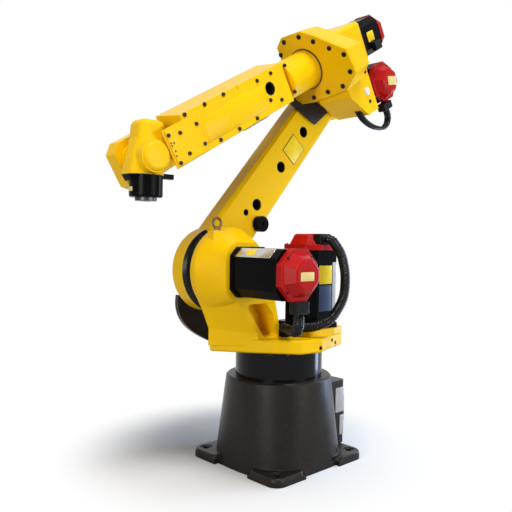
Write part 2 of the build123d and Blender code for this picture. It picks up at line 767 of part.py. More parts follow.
cover_end = forearm_length - near_cheek_end - box_edge
with BuildPart() as wrist_side_cover:
    with BuildSketch(beside_forearm(box_half)):
        with Locations((cover_end - side_cover_length / 2, (near_cheek_top - box_under) / 2)):
            RectangleRounded(side_cover_length, near_cheek_top + box_under - box_edge, box_edge)
    extrude(amount=-side_cover_thickness)
write(wrist_side_cover, "wrist_side_cover")


def along_forearm(station, y, up):
    """The point at this station of the forearm, beside it and above its centre line."""
    return tuple(fore_foot + fore_along * station + fore_up * up + Vector(0, y, 0))


hose_low = box_under + hose_width / 2 + running_gap
held_leads(
    "forearm_hose",
    [along_forearm(322, -20, -0.8 * box_under), along_forearm(372, -20, -hose_low),
     along_forearm(492, -20, -hose_low), along_forearm(542, -20, -0.8 * box_under)],
    hose_width, ((0, 0, 0),), forearm_casting)

# Wrist: upright body on the fifth axis with a domed top, and the dark gear case under it
with BuildPart() as wrist_casting:
    with BuildSketch(beside_wrist(wrist_depth / 2 - wrist_shift)):
        Polygon(
            (-wrist_rear, -wrist_drop), (wrist_front_foot, -wrist_drop), (wrist_front, -0.1 * wrist_drop),
            (wrist_front_top + 4, 0.5 * wrist_rise), (wrist_front_top, wrist_rise),
            (-wrist_rear, wrist_rise), align=None)
    extrude(amount=wrist_depth)
    upright_edges = wrist_casting.edges().filter_by(lambda e: abs(e.tangent_at(0.5).Z) > 0.8)
    fillet(upright_edges, wrist_corner)
    fillet(wrist_casting.faces().sort_by(Axis.Z)[-1].edges(), wrist_dome)
    with BuildSketch(beside_wrist(0)):
        Circle(wrist_hub_radius)
    extrude(amount=-(box_half - near_cheek - hub_gap))
    with BuildSketch(beside_wrist(0)):
        Circle(wrist_hub_radius)
    extrude(amount=box_half - running_gap)
write(wrist_casting, "wrist_casting")

gear_case_radius = box_half - near_cheek - cheek_gap
with BuildPart() as wrist_gear_case:
    with BuildSketch(Plane(origin=wrist - Vector(0, 0, gear_case_drop))):
        Circle(gear_case_radius)
    extrude(amount=gear_case_drop - wrist_drop)
    with BuildSketch(Plane(
            origin=wrist - Vector(0, 0, wrist_drop), x_dir=(1, 0, 0), z_dir=(0, 0, -1))):
        with Locations(((wrist_front_foot - wrist_rear) / 2, wrist_shift)):
            RectangleRounded(wrist_front_foot + wrist_rear, wrist_depth, wrist_corner)
    extrude(amount=gear_case_rim, taper=gear_case_draft)
    chamfer(wrist_gear_case.faces().sort_by(Axis.Z)[0].edges(), gear_case_edge)
    add(wrist_casting.part, mode=Mode.SUBTRACT)
write(wrist_gear_case, "wrist_gear_case")

clip_seat = wrist + Vector(-clip_reach / 2, clip_width / 2, clip_rise - wrist_drop - clip_height)
with BuildPart() as wrist_clip:
    with BuildSketch(Plane(origin=clip_seat)):
        Rectangle(clip_reach, clip_width)
    extrude(amount=clip_height)
    add(wrist_casting.part, mode=Mode.SUBTRACT)
    add(wrist_gear_case.part, mode=Mode.SUBTRACT)
write(wrist_clip, "wrist_clip")

with BuildPart() as tool_flange:
    with BuildSketch(Plane(origin=wrist - Vector(0, 0, flange_distance))):
        Circle(flange_radius)
    extrude(amount=flange_distance - gear_case_drop - running_gap)
    with BuildSketch(Plane(origin=wrist - Vector(0, 0, flange_distance))):
        Circle(flange_pilot)
        with PolarLocations(flange_bolt_circle / 2, 4, 45):
            Circle(flange_bolt_hole / 2)
    extrude(amount=flange_pilot_depth, mode=Mode.SUBTRACT)
write(tool_flange, "tool_flange")
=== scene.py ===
import bpy
import bmesh
import json
import math
from mathutils import Matrix, Vector


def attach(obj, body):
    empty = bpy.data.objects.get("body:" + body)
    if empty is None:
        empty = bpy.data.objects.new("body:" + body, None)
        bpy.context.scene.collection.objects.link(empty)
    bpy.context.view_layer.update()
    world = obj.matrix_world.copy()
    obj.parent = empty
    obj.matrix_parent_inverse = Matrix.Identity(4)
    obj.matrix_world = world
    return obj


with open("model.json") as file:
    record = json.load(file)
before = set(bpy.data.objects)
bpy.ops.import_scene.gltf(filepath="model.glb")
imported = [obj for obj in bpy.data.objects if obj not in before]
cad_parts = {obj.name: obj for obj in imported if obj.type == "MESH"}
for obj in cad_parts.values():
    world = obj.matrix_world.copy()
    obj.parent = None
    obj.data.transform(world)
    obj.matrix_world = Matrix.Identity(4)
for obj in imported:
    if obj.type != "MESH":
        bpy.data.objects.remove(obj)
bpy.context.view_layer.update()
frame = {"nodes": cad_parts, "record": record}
scene = bpy.context.scene
cad = frame["nodes"]
scene.view_settings.view_transform = "Standard"

# Camera at the photograph's viewing angle
lens = {"place": (1.2282, 1.2369, 0.6072), "forward": (-0.70461, -0.70954, -0.00873),
        "right": (-0.70958, 0.70445, 0.01571), "length": 43.56, "sensor": 36,
        "shift": (-0.048, -0.0195)}
cameraData = bpy.data.cameras.new("camera")
cameraData.lens, cameraData.sensor_width = lens["length"], lens["sensor"]
cameraData.shift_x, cameraData.shift_y = lens["shift"]
camera = bpy.data.objects.new("camera", cameraData)
scene.collection.objects.link(camera)
right = Vector(lens["right"]).normalized()
back = -Vector(lens["forward"]).normalized()
turn = Matrix((right, back.cross(right).normalized(), back)).transposed().to_4x4()
camera.matrix_world = Matrix.Translation(lens["place"]) @ turn
scene.camera = camera
print("stage: camera")


def link(tree, start, end):
    tree.links.new(start, end)


def addNode(tree, kind, values=None, **settings):
    node = tree.nodes.new("ShaderNode" + kind)
    for name, value in settings.items():
        setattr(node, name, value)
    for socket, value in (values or {}).items():
        node.inputs[socket].default_value = value
    return node


# Shared surface: patchy colour, pale flecks painted in as glints, worn gloss, cast grain and
# rounded edges
surface = {"patchDetail": 5, "patchFrom": 0.35, "patchTo": 0.68,
           "glintScale": 520, "glintDetail": 2, "glintFrom": 0.50, "glintTo": 0.74,
           "glintColour": (0.20, 0.20, 0.21, 1), "grainDetail": 3, "grainHeight": 0.0006,
           "edgeSamples": 6}
colourInputs = (("Colour", (1, 1, 1, 1)), ("Shade", (1, 1, 1, 1)))
valueInputs = (("Patch", 6.0), ("Grain", 900.0), ("Depth", 0.1), ("Smooth", 0.3), ("Rough", 0.45),
               ("Edge", 0.0012), ("Glint", 0.0))
firstColour, secondColour, mixedColour = 6, 7, 2    # colour sockets of a Mix node


def surfaceGroup():
    group = bpy.data.node_groups.new("castSurface", "ShaderNodeTree")
    face = group.interface
    for kind, sockets in (("NodeSocketColor", colourInputs), ("NodeSocketFloat", valueInputs),
                          ("NodeSocketVector", (("Stretch", (1, 1, 1)),))):
        for name, value in sockets:
            socket = face.new_socket(name, in_out="INPUT", socket_type=kind)
            socket.default_value = value
    for name, kind in (("Colour", "NodeSocketColor"), ("Roughness", "NodeSocketFloat"),
                       ("Normal", "NodeSocketVector")):
        face.new_socket(name, in_out="OUTPUT", socket_type=kind)
    start, end = addNode(group, "TexCoord"), group.nodes.new("NodeGroupOutput")
    given = group.nodes.new("NodeGroupInput").outputs
    place = start.outputs["Object"]
    pull = addNode(group, "VectorMath", operation="MULTIPLY")
    patches = addNode(group, "TexNoise", {"Detail": surface["patchDetail"]})
    grain = addNode(group, "TexNoise", {"Detail": surface["grainDetail"]})
    # Pale flecks mixed into the colour: painted glints of light
    glints = addNode(group, "TexNoise", {"Scale": surface["glintScale"],
                                         "Detail": surface["glintDetail"]})
    spread = addNode(group, "MapRange", {"From Min": surface["patchFrom"],
                                         "From Max": surface["patchTo"]})
    sharp = addNode(group, "MapRange", {"From Min": surface["glintFrom"],
                                        "From Max": surface["glintTo"]})
    amount = addNode(group, "Math", operation="MULTIPLY")
    patchy = addNode(group, "Mix", data_type="RGBA")
    glinted = addNode(group, "Mix", data_type="RGBA")
    glinted.inputs[secondColour].default_value = surface["glintColour"]
    gloss = addNode(group, "MapRange")
    bump = addNode(group, "Bump", {"Distance": surface["grainHeight"]})
    edge = addNode(group, "Bevel")
    edge.samples = surface["edgeSamples"]
    for output, socket in (
            (place, patches.inputs["Vector"]), (place, pull.inputs[0]),
            (place, glints.inputs["Vector"]), (given["Stretch"], pull.inputs[1]),
            (pull.outputs["Vector"], grain.inputs["Vector"]),
            (given["Patch"], patches.inputs["Scale"]), (given["Grain"], grain.inputs["Scale"]),
            (patches.outputs["Fac"], spread.inputs["Value"]),
            (spread.outputs["Result"], patchy.inputs["Factor"]),
            (given["Colour"], patchy.inputs[firstColour]),
            (given["Shade"], patchy.inputs[secondColour]),
            (glints.outputs["Fac"], sharp.inputs["Value"]),
            (sharp.outputs["Result"], amount.inputs[0]), (given["Glint"], amount.inputs[1]),
            (amount.outputs["Value"], glinted.inputs["Factor"]),
            (patchy.outputs[mixedColour], glinted.inputs[firstColour]),
            (glinted.outputs[mixedColour], end.inputs["Colour"]),
            (patches.outputs["Fac"], gloss.inputs["Value"]),
            (given["Smooth"], gloss.inputs["To Min"]), (given["Rough"], gloss.inputs["To Max"]),
            (gloss.outputs["Result"], end.inputs["Roughness"]),
            (given["Edge"], edge.inputs["Radius"]), (edge.outputs["Normal"], bump.inputs["Normal"]),
            (grain.outputs["Fac"], bump.inputs["Height"]),
            (given["Depth"], bump.inputs["Strength"]),
            (bump.outputs["Normal"], end.inputs["Normal"])):
        link(group, output, socket)
    return group


castSurface = surfaceGroup()


def finish(name, look):
    made = bpy.data.materials.new(name)
    made.use_nodes = True
    tree = made.node_tree
    shader = tree.nodes["Principled BSDF"]
    group = tree.nodes.new("ShaderNodeGroup")
    group.node_tree = castSurface
    for socket, value in (("Colour", (*look["colour"], 1)), ("Shade", (*look["shade"], 1)),
                          ("Stretch", look.get("stretch", (1, 1, 1))),
                          ("Glint", look.get("glint", 0)), ("Patch", look["patch"]),
                          ("Grain", look["grain"]), ("Depth", look["depth"]),
                          ("Smooth", look["smooth"]), ("Rough", look["rough"]),
                          ("Edge", look["edge"])):
        group.inputs[socket].default_value = value
    for output, socket in (("Colour", "Base Color"), ("Roughness", "Roughness"),
                           ("Normal", "Normal")):
        link(tree, group.outputs[output], shader.inputs[socket])
    shader.inputs["Metallic"].default_value = look.get("metal", 0)
    shader.inputs["Specular IOR Level"].default_value = look.get("shine", 0.5)
    shader.inputs["Coat Weight"].default_value = look.get("coat", 0)
    shader.inputs["Coat Roughness"].default_value = look.get("coatRough", 0.1)
    return made


# Finishes: colour and shade are mixed in patches, edge is the rounding of corners in metres
looks = {
    "yellowPaint": {
        "colour": (0.90, 0.545, 0.003), "shade": (0.86, 0.50, 0.0025), "patch": 5, "grain": 420,
        "depth": 0.14, "smooth": 0.24, "rough": 0.38, "edge": 0.0035, "shine": 0.08,
        "coat": 0.05, "coatRough": 0.06},
    # Dark casting with pale flecks painted in as glints of light on its grain
    "greyCasting": {
        "colour": (0.013, 0.009, 0.006), "shade": (0.007, 0.005, 0.0035), "patch": 9, "grain": 380,
        "depth": 0.95, "smooth": 0.24, "rough": 0.38, "edge": 0.0035, "shine": 0.16,
        "glint": 0.08},
    "blackPaint": {
        "colour": (0.002, 0.0018, 0.0018), "shade": (0.004, 0.0036, 0.0038), "patch": 8,
        "grain": 700, "depth": 0.12, "smooth": 0.14, "rough": 0.28, "edge": 0.0016,
        "shine": 0.035},
    "ringPaint": {
        "colour": (0.003, 0.003, 0.004), "shade": (0.005, 0.005, 0.007), "patch": 7, "grain": 260,
        "depth": 0.05, "smooth": 0.08, "rough": 0.15, "edge": 0.0014, "shine": 0.13},
    "redCap": {
        "colour": (0.44, 0.007, 0.007), "shade": (0.36, 0.005, 0.005), "patch": 10, "grain": 900,
        "depth": 0.12, "smooth": 0.20, "rough": 0.34, "edge": 0.0022, "shine": 0.12},
    "blackRubber": {
        "colour": (0.003, 0.003, 0.0035), "shade": (0.006, 0.006, 0.007), "patch": 18,
        "grain": 1200, "depth": 0.16, "smooth": 0.12, "rough": 0.28, "edge": 0.0010,
        "shine": 0.20},
    "blackPlug": {
        "colour": (0.004, 0.004, 0.0045), "shade": (0.008, 0.008, 0.009), "patch": 22,
        "grain": 1100, "depth": 0.16, "smooth": 0.20, "rough": 0.36, "edge": 0.0012,
        "shine": 0.12},
    "greySheet": {
        "colour": (0.030, 0.024, 0.021), "shade": (0.020, 0.016, 0.015), "patch": 10,
        "grain": 800, "depth": 0.12, "smooth": 0.18, "rough": 0.34, "edge": 0.0010,
        "shine": 0.25},
    # Dark inside of the holes: painted shade
    "paintedHoleShade": {
        "colour": (0.016, 0.012, 0.008), "shade": (0.008, 0.006, 0.005), "patch": 40,
        "grain": 900, "depth": 0.30, "smooth": 0.40, "rough": 0.60, "edge": 0.0004,
        "shine": 0.10},
    "darkSteel": {
        "colour": (0.06, 0.06, 0.066), "shade": (0.035, 0.035, 0.04), "patch": 24, "grain": 1500,
        "depth": 0.10, "smooth": 0.24, "rough": 0.40, "edge": 0.0008, "metal": 1},
    "screwSteel": {
        "colour": (0.012, 0.010, 0.008), "shade": (0.007, 0.006, 0.005), "patch": 60,
        "grain": 2400, "depth": 0.08, "smooth": 0.24, "rough": 0.40, "edge": 0.0004,
        "shine": 0.16},
    "eyeSteel": {
        "colour": (0.20, 0.13, 0.05), "shade": (0.12, 0.08, 0.03), "patch": 30, "grain": 1200,
        "depth": 0.12, "smooth": 0.26, "rough": 0.44, "edge": 0.0006, "metal": 1},
    "silverPlate": {
        "colour": (0.66, 0.66, 0.64), "shade": (0.52, 0.52, 0.51), "patch": 40, "grain": 900,
        "depth": 0.10, "smooth": 0.20, "rough": 0.34, "edge": 0.0003, "metal": 1,
        "stretch": (1, 0.04, 1)},
    "palePlate": {
        "colour": (0.50, 0.49, 0.47), "shade": (0.40, 0.39, 0.38), "patch": 30, "grain": 1500,
        "depth": 0.05, "smooth": 0.26, "rough": 0.40, "edge": 0.0003},
    "creamPlate": {
        "colour": (0.80, 0.66, 0.30), "shade": (0.72, 0.56, 0.20), "patch": 40, "grain": 1500,
        "depth": 0.05, "smooth": 0.24, "rough": 0.38, "edge": 0.0003, "shine": 0.12},
    "goldPlate": {
        "colour": (0.92, 0.66, 0.02), "shade": (0.86, 0.58, 0.012), "patch": 40, "grain": 1500,
        "depth": 0.05, "smooth": 0.24, "rough": 0.38, "edge": 0.0003, "shine": 0.10},
    # Blue plate: painted reflection of blue light on the black side of the first motor
    "blueReflectionPlate": {
        "colour": (0.020, 0.036, 0.092), "shade": (0.014, 0.026, 0.066), "patch": 26,
        "grain": 1500, "depth": 0.04, "smooth": 0.30, "rough": 0.46, "edge": 0.0003,
        "shine": 0.2},
    "whiteCap": {
        "colour": (0.74, 0.72, 0.66), "shade": (0.64, 0.62, 0.56), "patch": 40, "grain": 1200,
        "depth": 0.06, "smooth": 0.26, "rough": 0.40, "edge": 0.0006},
}
material = {name: finish(name, look) for name, look in looks.items()}
bySlot = {"grey_casting": "greyCasting", "black_paint": "blackPaint", "yellow_paint": "yellowPaint",
          "red_cap": "redCap", "rubber": "blackRubber", "dark_steel": "darkSteel",
          "connector": "blackPlug", "grey_sheet": "greySheet"}
ownLook = {"axis1_ring": "ringPaint", "lifting_eye": "eyeSteel", "stop_bumper": "blackPaint"}
for part in frame["record"]["subparts"]:
    node = cad[part["node"]]
    look = ownLook.get(part["node"], bySlot[part["material_slot"]])
    node.data.materials.clear()
    node.data.materials.append(material[look])
print("stage: materials")


# Places on the arm. Stations along a limb, heights across it and y are in mm
def unit(degrees):
    return Vector((math.cos(math.radians(degrees)), 0, math.sin(math.radians(degrees))))


sideways = Vector((0, 1, 0))
upwards = Vector((0, 0, 1))
forwards = Vector((1, 0, 0))
limbs = {"shoulder": (0.150, 0, 0.525), "armLean": 129.5, "armLength": 0.740,
         "forePitch": -30.4, "foreOffset": 0.125, "foreLength": 0.810}
shoulder = Vector(limbs["shoulder"])
armAlong, armAcross = unit(limbs["armLean"]), unit(limbs["armLean"] - 90)
elbow = shoulder + armAlong * limbs["armLength"]
foreAlong, foreUp = unit(limbs["forePitch"]), unit(limbs["forePitch"] + 90)
foreFoot = elbow + foreUp * limbs["foreOffset"]
wrist = foreFoot + foreAlong * limbs["foreLength"]


def spot(x, y, z):
    return Vector((x, y, z)) * 0.001


def onForearm(station, up, y):
    return foreFoot + foreAlong * station * 0.001 + foreUp * up * 0.001 + spot(0, y, 0)


def onArm(station, across, y):
    return shoulder + armAlong * station * 0.001 + armAcross * across * 0.001 + spot(0, y, 0)


# Where a CAD part ends along an axis, in mm
def faceOf(node, axis, pick):
    corners = [cad[node].matrix_world @ Vector(corner) for corner in cad[node].bound_box]
    return pick(corner["xyz".index(axis)] for corner in corners) * 1000


forearmNear = faceOf("forearm_casting", "y", max)
sideCoverNear = faceOf("wrist_side_cover", "y", max)
beltCaseFar = faceOf("belt_case", "y", min)
armNear, armFar = (faceOf("upper_arm_casting", "y", pick) for pick in (max, min))
rearPanelBack = faceOf("rear_panel", "x", min)
cableCoverFar = faceOf("cable_cover", "y", min)
boxSide = faceOf("connector_box", "y", max)
axis2CapTop = faceOf("axis2_motor_cap", "y", max)
elbowPlateFront = 192    # station of the elbow's front plate
elbowBlockNear = 118     # y of the near side of the elbow's block


# A frame with its height along the normal and its width along the second direction
def setting(place, normal, along):
    outward = Vector(normal).normalized()
    first = (Vector(along) - outward * outward.dot(Vector(along))).normalized()
    turned = Matrix((first, outward.cross(first), outward)).transposed().to_4x4()
    return Matrix.Translation(place) @ turned


smoothBelow = math.radians(32)


def keep(name, form, look, body):
    bmesh.ops.recalc_face_normals(form, faces=form.faces)
    mesh = bpy.data.meshes.new(name)
    form.to_mesh(mesh)
    form.free()
    for face in mesh.polygons:
        face.use_smooth = True
    mesh.set_sharp_from_angle(angle=smoothBelow)
    piece = bpy.data.objects.new(name, mesh)
    scene.collection.objects.link(piece)
    mesh.materials.append(material[look])
    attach(piece, body)
    return piece


def topOf(faces):
    return max(faces, key=lambda f: f.calc_center_median().z)


def roundTop(form, edge, steps):
    bmesh.ops.bevel(form, geom=list(topOf(form.faces).edges), offset=edge, segments=steps,
                    profile=0.5, affect="EDGES", material=-1)


# A round disc from a sunk foot to its top, with a rounded rim
def disc(form, size):
    bmesh.ops.create_cone(
        form, cap_ends=True, segments=size["sides"], radius1=size["radius"],
        radius2=size["radius"], depth=size["top"] + size["sink"],
        matrix=Matrix.Translation((0, 0, (size["top"] - size["sink"]) / 2)))
    roundTop(form, size["edge"], size["edgeSteps"])


# Screws, each a rounded head with its sizes in shares of the head's radius. After the inset all
# faces on top are equally high, and topOf sinks a segment of the ring in place of the middle.
head = {"sides": 24, "sink": 0.002, "edge": 0.16, "edgeSteps": 3, "rim": 0.34, "socket": 0.46,
        "lip": 0.02, "socketDepth": 0.6}


def addScrew(form, place, normal, radius, height):
    part = bmesh.new()
    disc(part, {"sides": head["sides"], "radius": radius, "top": height, "sink": head["sink"],
                "edge": radius * head["edge"], "edgeSteps": head["edgeSteps"]})
    bmesh.ops.inset_region(part, faces=[topOf(part.faces)], thickness=radius * head["rim"])
    top = topOf(part.faces)
    for corner in top.verts:
        angle = math.atan2(corner.co.y, corner.co.x) % (math.pi / 3) - math.pi / 6
        reach = radius * head["socket"] * math.cos(math.pi / 6) / math.cos(angle)
        flat = Vector((corner.co.x, corner.co.y, 0)).normalized() * reach
        corner.co = Vector((flat.x, flat.y, corner.co.z))
    bmesh.ops.inset_region(part, faces=[top], thickness=radius * head["lip"],
                           depth=-height * head["socketDepth"])
    part.transform(setting(place, normal, forwards if abs(Vector(normal).normalized().z) > 0.9
                           else upwards))
    joined = bpy.data.meshes.new("joined")
    part.to_mesh(joined)
    part.free()
    form.from_mesh(joined)
    bpy.data.meshes.remove(joined)


def screws(name, places, normal, size, body):
    form = bmesh.new()
    for place in places:
        addScrew(form, place, normal, size["radius"], size["height"])
    return keep(name, form, "screwSteel", body)


# Screws of the elbow's front plate: places across it (y) and up it
elbowPlateScrews = {"radius": 0.0068, "height": 0.0040, "places": (
    (-73, 58), (-45, 90), (15, 92), (60, 69), (107, 40), (149, 14), (152, -35), (112, -70),
    (54, -77), (-4, -85))}
screws("elbow_plate_screws",
       [onForearm(elbowPlateFront, up, y) for y, up in elbowPlateScrews["places"]],
       foreAlong, elbowPlateScrews, "elbow")

# Screws along the forearm: stations and heights on the near face, the band and the side cover
forearmScrews = {"radius": 0.0052, "height": 0.0030, "places": (
    (321, 46), (382, 45), (438, 44), (416, -17), (376, -31), (317, -30), (484, -41), (554, -41),
    (624, -41))}
screws("forearm_screws", [onForearm(s, up, forearmNear) for s, up in forearmScrews["places"]],
       sideways, forearmScrews, "forearm")
forearmBandScrews = {"radius": 0.0052, "height": 0.0030, "stations": (561, 628, 695), "up": 53,
                     "y": 45.5}
screws("forearm_band_screws",
       [onForearm(s, forearmBandScrews["up"], forearmBandScrews["y"])
        for s in forearmBandScrews["stations"]], sideways, forearmBandScrews, "forearm")
sideCoverScrews = {"radius": 0.0048, "height": 0.0028, "places": (
    (730, 22), (763, 29), (676, 22), (675, -29), (728, -31), (762, -40))}
sideCoverPins = {"radius": 0.0019, "height": 0.0014, "places": (
    (765, 11), (757, 8), (765, 4), (762, -10), (765, -21))}
for name, size in (("side_cover_screws", sideCoverScrews), ("side_cover_pins", sideCoverPins)):
    screws(name, [onForearm(s, up, sideCoverNear) for s, up in size["places"]], sideways, size,
           "forearm")

# Screws of the elbow's block and, on the far side, of the belt case: stations and heights
elbowBlockScrews = {"radius": 0.0048, "height": 0.0028, "places": ((102, -150), (84, -66))}
screws("elbow_block_screws",
       [onForearm(s, up, elbowBlockNear) for s, up in elbowBlockScrews["places"]], sideways,
       elbowBlockScrews, "elbow")
beltCaseScrews = {"radius": 0.0046, "height": 0.0026, "places": (
    (664, 18), (700, 40), (760, 40), (820, 40), (844, 16), (844, -34), (812, -54), (752, -50),
    (700, -46), (664, -22))}
screws("belt_case_screws", [onForearm(s, up, beltCaseFar) for s, up in beltCaseScrews["places"]],
       -sideways, beltCaseScrews, "forearm")

# Screws on circles round the far ends of the upper arm
armFarScrews = {"radius": 0.0060, "height": 0.0034, "station": 0, "circle": 84, "count": 12}
armTopScrews = {"radius": 0.0052, "height": 0.0030, "station": 740, "circle": 56, "count": 8}
for name, size in (("arm_far_screws", armFarScrews), ("arm_top_screws", armTopScrews)):
    angles = [2 * math.pi * k / size["count"] for k in range(size["count"])]
    screws(name, [onArm(size["station"] + size["circle"] * math.cos(a),
                        size["circle"] * math.sin(a), armFar) for a in angles],
           -sideways, size, "upper_arm")

rearPanelScrews = {"radius": 0.0040, "height": 0.0022, "across": (-48, 48),
                   "heights": (37, 105, 173)}
screws("rear_panel_screws",
       [spot(rearPanelBack, y, z) for y in rearPanelScrews["across"]
        for z in rearPanelScrews["heights"]], (-1, 0, 0), rearPanelScrews, "base")
cableCoverScrews = {"radius": 0.0044, "height": 0.0024,
                    "places": ((190, 440), (170, 395), (120, 352), (62, 345))}
screws("cable_cover_screws", [spot(x, cableCoverFar, z) for x, z in cableCoverScrews["places"]],
       -sideways, cableCoverScrews, "turret")
print("stage: screws")

# Round covers on the far side of the upper arm. After the first inset all faces on top are
# equally high, and topOf sinks a segment of the ring in place of the middle.
armCovers = {"sides": 64, "top": 0.004, "sink": 0.002, "edge": 0.0016, "edgeSteps": 3,
             "rim": 0.3, "sunk": 0.0016, "slope": 0.001,
             "ends": (("arm_foot_cover", 0, 0.070), ("arm_top_cover", 740, 0.045))}
for name, station, radius in armCovers["ends"]:
    form = bmesh.new()
    disc(form, {**armCovers, "radius": radius})
    bmesh.ops.inset_region(form, faces=[topOf(form.faces)], thickness=radius * armCovers["rim"])
    bmesh.ops.inset_region(form, faces=[topOf(form.faces)], thickness=armCovers["slope"],
                           depth=-armCovers["sunk"])
    form.transform(setting(onArm(station, 0, armFar), -sideways, armAlong))
    keep(name, form, "yellowPaint", "upper_arm")

# Dark seal in the near edge of the shoulder disc, broken where the limb leaves it
shoulderSeal = {"profile": ((0.1166, -0.0960), (0.1074, -0.0866), (0.1050, -0.0890),
                            (0.1140, -0.0980)), "start": 60, "sweep": 272, "steps": 96}
form = bmesh.new()
section = form.faces.new([form.verts.new((x, 0, z)) for x, z in shoulderSeal["profile"]])
bmesh.ops.spin(form, geom=[section], cent=(0, 0, 0), axis=(0, 0, 1),
               angle=math.radians(shoulderSeal["sweep"]), steps=shoulderSeal["steps"],
               use_duplicate=False)
form.transform(Matrix.Rotation(math.radians(shoulderSeal["start"]), 4, "Z"))
form.transform(setting(shoulder, sideways, armAlong))
keep("shoulder_seal", form, "blackRubber", "upper_arm")
print("stage: covers")


# Turned pieces: a profile of radius and height, spun about its own axis
def turned(name, matrix, profile, look, body, steps=64):
    form = bmesh.new()
    line = [form.verts.new((x, 0, z)) for x, z in profile]
    rim = [form.edges.new(pair) for pair in zip(line, line[1:] + line[:1])]
    bmesh.ops.spin(form, geom=line + rim, cent=(0, 0, 0), axis=(0, 0, 1), angle=2 * math.pi,
                   steps=steps, use_merge=True, use_duplicate=False)
    bmesh.ops.remove_doubles(form, verts=form.verts, dist=0.00002)
    form.transform(matrix)
    return keep(name, form, look, body)


# Dark cups in the bores, painted shade for their insides, each with a rolled lip, a little under
# the face
shadeCups = {"gap": 0.0002, "rise": 0.0004, "floor": 0.002, "lip": 0.0030, "lipDepth": 0.0012,
          "roll": 0.0022, "under": 0.6, "steps": 40}


def shadeCup(name, place, size, body):
    radius, deep = size["radius"], size["deep"]
    turned(name, setting(place, sideways, armAlong), (
        (radius - shadeCups["gap"], shadeCups["rise"]), (radius - shadeCups["gap"], -deep), (0, -deep),
        (0, shadeCups["floor"] - deep), (radius - shadeCups["lip"], shadeCups["floor"] - deep),
        (radius - shadeCups["roll"], -shadeCups["lipDepth"])), "paintedHoleShade", body, shadeCups["steps"])


armBores = {"radius": 0.0170, "deep": 0.040, "places": ((534, 14), (382, 13), (230, 12))}
for number, (station, across) in enumerate(armBores["places"]):
    shadeCup("arm_bore_shade_cup_" + str(number + 1),
          onArm(station, across, armNear - shadeCups["under"]), armBores, "upper_arm")
armSmallBore = {"radius": 0.0095, "deep": 0.020, "place": (185, 28.6)}
shadeCup("arm_small_bore_shade_cup", onArm(*armSmallBore["place"], armNear - shadeCups["under"]),
      armSmallBore, "upper_arm")
forearmBore = {"radius": 0.0180, "deep": 0.050, "place": (402, 10)}
shadeCup("forearm_bore_shade_cup", onForearm(*forearmBore["place"], forearmNear - shadeCups["under"]),
      forearmBore, "forearm")

# Small dark cups in the three side holes of the turret's plate, painted shade for the insides of
# the holes
turretPlateShadeCups = {
    "profile": ((0.0053, 0.0003), (0.0053, -0.006), (0, -0.006), (0, -0.005), (0.0040, -0.005),
                (0.0045, -0.0006)), "steps": 32,
    "holes": (((-20, 138.9, 317), (0.205, 0.979, 0)), ((-100, 109.6, 329), (-0.300, 0.953, 0)),
              ((-123.7, 102.2, 315), (-0.300, 0.953, 0)))}
for number, (place, normal) in enumerate(turretPlateShadeCups["holes"]):
    turned("turret_plate_shade_cup_" + str(number + 1), setting(spot(*place), normal, upwards),
           turretPlateShadeCups["profile"], "paintedHoleShade", "turret", turretPlateShadeCups["steps"])

wristHubCap = {"radius": 0.034, "fall": 0.009, "shoulder": 0.0085, "crown": 0.0095,
               "foot": 0.001, "y": 41.5}
hubRing = [(wristHubCap["radius"] - wristHubCap["fall"] * (1 - math.cos(math.radians(a))),
            wristHubCap["shoulder"] * math.sin(math.radians(a))) for a in range(0, 91, 10)]
turned("wrist_hub_cap", setting(wrist + spot(0, wristHubCap["y"], 0), sideways, foreUp),
       hubRing + [(0, wristHubCap["crown"]), (0, -wristHubCap["foot"]),
                  (wristHubCap["radius"], -wristHubCap["foot"])], "yellowPaint", "wrist")
# Dark ring round the foot of the forearm's tube: painted shade for the crease where the tube meets
# the elbow's plate
forearmCreaseShade = {"profile": ((0.0572, -0.0004), (0.0572, 0.0016), (0.0582, 0.0024),
                           (0.0596, 0.0016), (0.0600, -0.0004)), "steps": 96}
turned("forearm_crease_shade", setting(onForearm(elbowPlateFront, 0, 0), foreAlong, foreUp),
       forearmCreaseShade["profile"], "blackRubber", "elbow", forearmCreaseShade["steps"])

# Four screws on the corners of each motor cap's flange
capScrews = {"radius": 0.0032, "height": 0.0022, "caps": (
    ("axis2_cap_screws", "turret", shoulder + spot(0, 218, 0), sideways, forwards, 0.0580),
    ("axis1_cap_screws", "turret", spot(-95, 30, 598), upwards, forwards, 0.0695),
    ("axis3_cap_screws", "elbow", elbow + spot(0, 112, 0), sideways, foreAlong, 0.0520))}
for name, body, place, normal, along, reach in capScrews["caps"]:
    matrix = setting(place, normal, along)
    angles = [math.radians(45 + 90 * k) for k in range(4)]
    screws(name, [matrix @ Vector((reach * math.cos(a), reach * math.sin(a), 0)) for a in angles],
           normal, capScrews, body)

# Ribbed sleeves over the pairs of leads: points in mm, with the corners rounded
ribs = {"rise": 0.0009, "pitch": 0.0062, "step": 0.0016, "sides": 20, "corner": 0.45,
        "cornerSteps": 12}


def bentPath(points):
    points = [spot(*p) for p in points]
    track = [points[0]]
    for before, corner, after in zip(points, points[1:], points[2:]):
        cut = ribs["corner"] * min((corner - before).length, (after - corner).length)
        first = corner + (before - corner).normalized() * cut
        last = corner + (after - corner).normalized() * cut
        shares = [k / ribs["cornerSteps"] for k in range(ribs["cornerSteps"] + 1)]
        track += [first * (1 - t) ** 2 + corner * 2 * t * (1 - t) + last * t * t for t in shares]
    track.append(points[-1])
    path = [track[0]]
    for first, last in zip(track, track[1:]):
        count = max(1, round((last - first).length / ribs["step"]))
        path += [first.lerp(last, k / count) for k in range(1, count + 1)]
    return path


